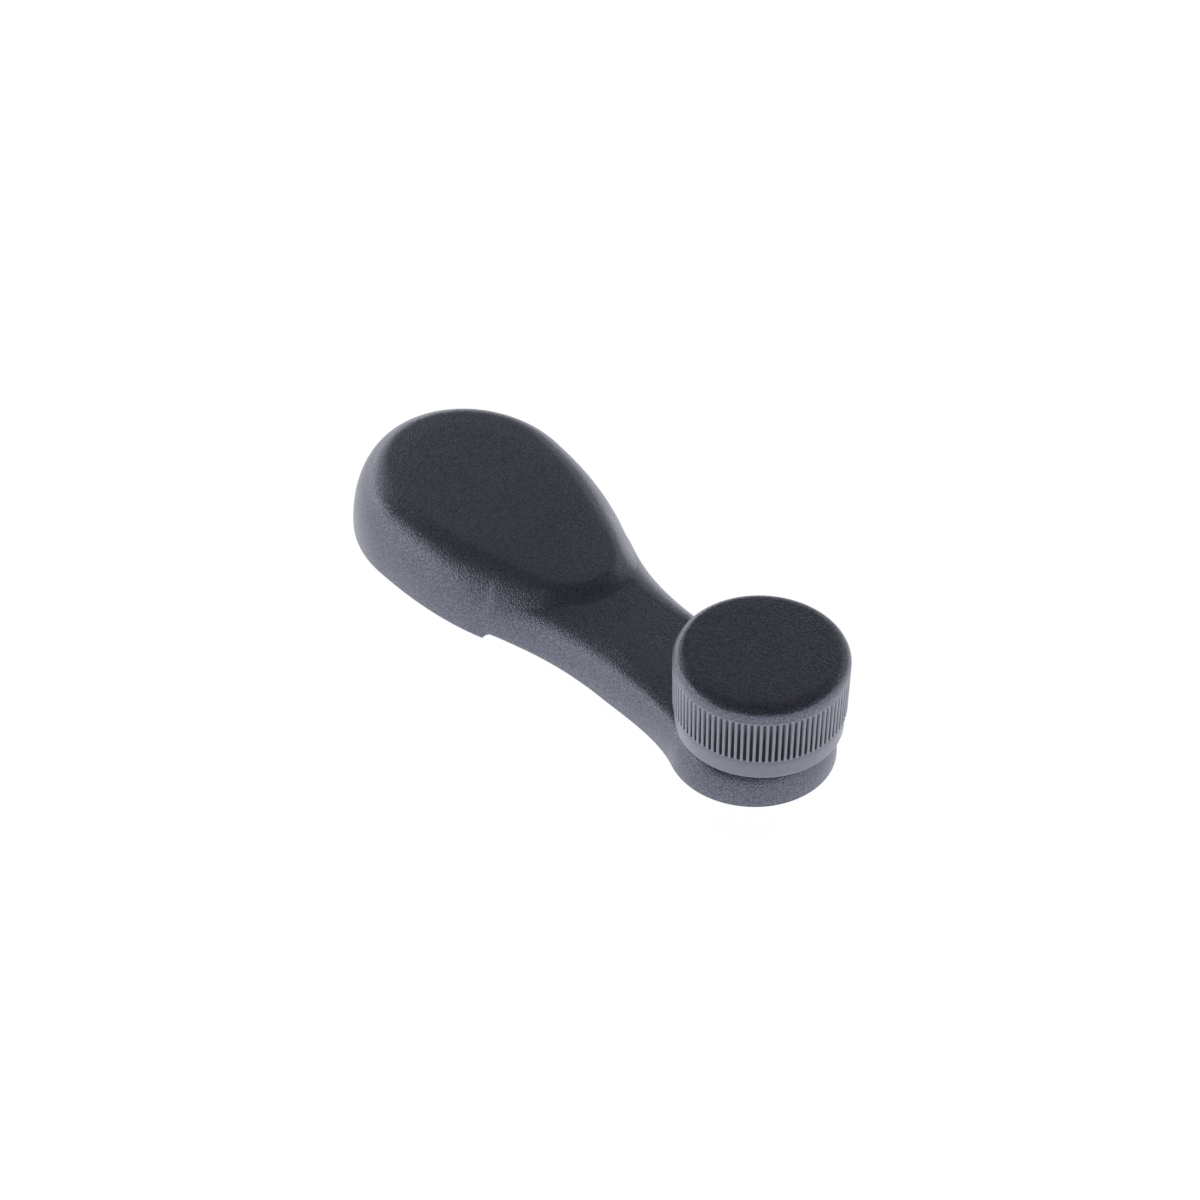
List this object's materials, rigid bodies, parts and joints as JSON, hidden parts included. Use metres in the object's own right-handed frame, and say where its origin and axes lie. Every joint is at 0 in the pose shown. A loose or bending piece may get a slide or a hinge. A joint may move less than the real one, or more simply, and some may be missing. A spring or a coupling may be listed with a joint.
{
  "type": "window crank handle",
  "caption": "Hand crank for a car's window regulator: a hollow plastic arm with a splined spindle socket in its hub and a free-spinning ribbed knob at its end.",
  "frame": {"origin": "on the spindle axis, at the plane of the hub's lower rim, which is the mouth of the spindle socket", "axes": "+X from the spindle axis to the knob axis, +Z along the spindle away from the door panel, +Y completes the right-handed frame"},
  "size_m": [0.1461, 0.0516, 0.0355],
  "materials": {
    "body_plastic": "fine moulded grain",
    "insert_metal": "as cast, splines broached",
    "spring_wire": "drawn spring wire",
    "axle_steel": "turned",
    "washer_nylon": "natural",
    "collar_plastic": "smooth satin",
    "knob_plastic": "fine moulded grain"
  },
  "bodies": {
    "crank": {"crank_body": "body_plastic", "spindle_insert": "insert_metal", "spring_clip": "spring_wire", "knob_axle": "axle_steel", "thrust_washer": "washer_nylon"},
    "knob": {"knob_base": "collar_plastic", "knob_cap": "knob_plastic"}
  },
  "joints": [
    {"name": "knob_spin", "type": "hinge", "parent": "crank", "child": "knob", "pos_m": [0.102, 0, 0.0168], "axis": [0, 0, 1], "continuous": true}
  ]
}
